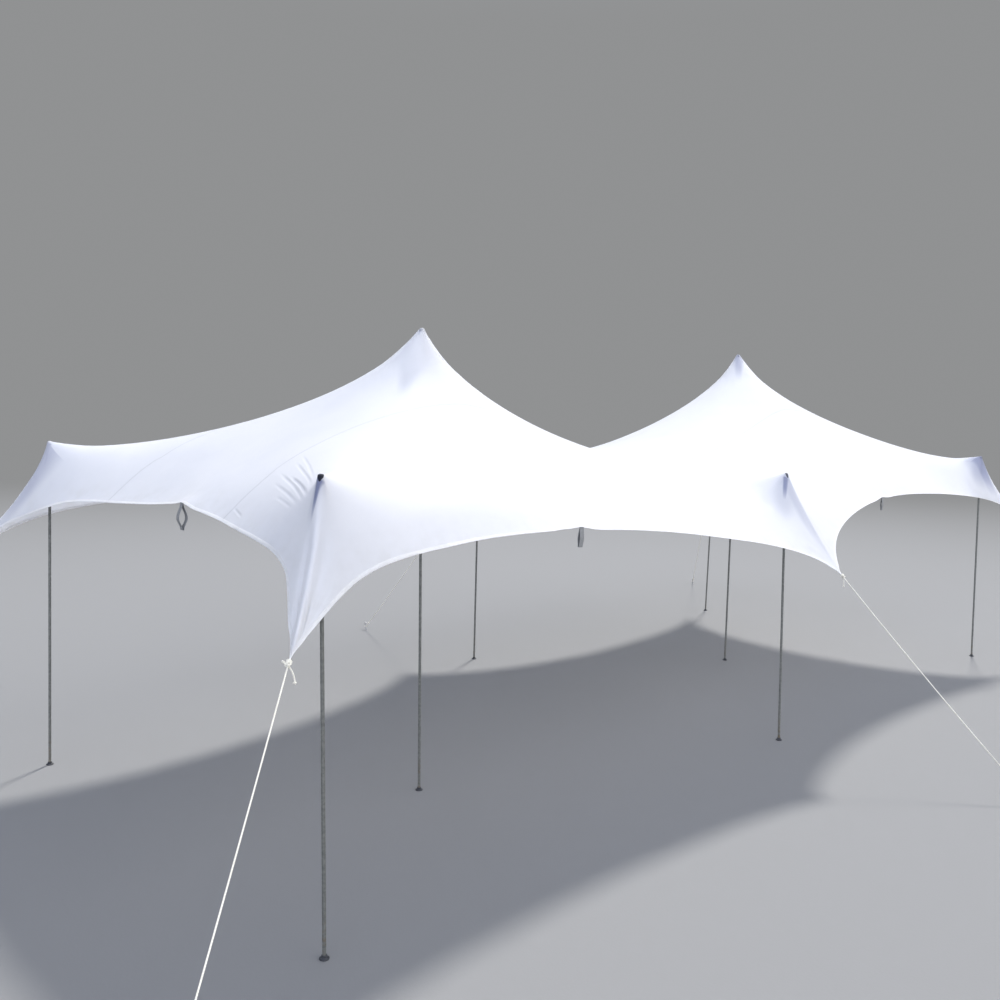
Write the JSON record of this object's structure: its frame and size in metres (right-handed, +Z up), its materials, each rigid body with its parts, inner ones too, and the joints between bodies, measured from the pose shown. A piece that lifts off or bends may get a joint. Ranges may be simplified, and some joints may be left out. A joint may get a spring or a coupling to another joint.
{
  "type": "stretch tent",
  "caption": "Open-sided stretch tent: white elastic canopy with two peaks over slim poles, guyed by ropes to ground pegs.",
  "frame": {"origin": "on the ground at the middle of the part's box, which the pegs and the middle guys' pegs bound", "axes": "+X along the long side of the canopy, +Y across towards the back side, +Z up"},
  "size_m": [12.9466, 7.8372, 3.477],
  "materials": {
    "cloth": "matt white stretch knit",
    "pole": "dull grey tube",
    "rubber": "matt moulded",
    "rope": "braided cream cord",
    "peg": "galvanised, scuffed",
    "strap": "woven webbing"
  },
  "bodies": {
    "root": {"canopy_front_strip": "cloth", "canopy_middle_strip": "cloth", "canopy_back_strip": "cloth", "pole_front_left": "pole", "pole_front_middle": "pole", "pole_front_right": "pole", "pole_back_left": "pole", "pole_back_middle": "pole", "pole_back_right": "pole", "pole_peak_left": "pole", "pole_peak_right": "pole", "pole_head_front_left": "rubber", "pole_head_front_middle": "rubber", "pole_head_front_right": "rubber", "pole_head_back_left": "rubber", "pole_head_back_middle": "rubber", "pole_head_back_right": "rubber", "pole_head_peak_left": "rubber", "pole_head_peak_right": "rubber", "pole_foot_front_left": "rubber", "pole_foot_front_middle": "rubber", "pole_foot_front_right": "rubber", "pole_foot_back_left": "rubber", "pole_foot_back_middle": "rubber", "pole_foot_back_right": "rubber", "pole_foot_peak_left": "rubber", "pole_foot_peak_right": "rubber", "guy_rope_front_left": "rope", "guy_rope_front_middle": "rope", "guy_rope_front_right": "rope", "guy_rope_back_left": "rope", "guy_rope_back_middle": "rope", "guy_rope_back_right": "rope", "peg_front_left": "peg", "peg_front_middle": "peg", "peg_front_right": "peg", "peg_back_left": "peg", "peg_back_middle": "peg", "peg_back_right": "peg", "spare_loop_front_left": "strap", "spare_loop_front_right": "strap", "spare_loop_back_left": "strap", "spare_loop_back_right": "strap", "spare_loop_left_end": "strap", "spare_loop_right_end": "strap"}
  },
  "joints": []
}
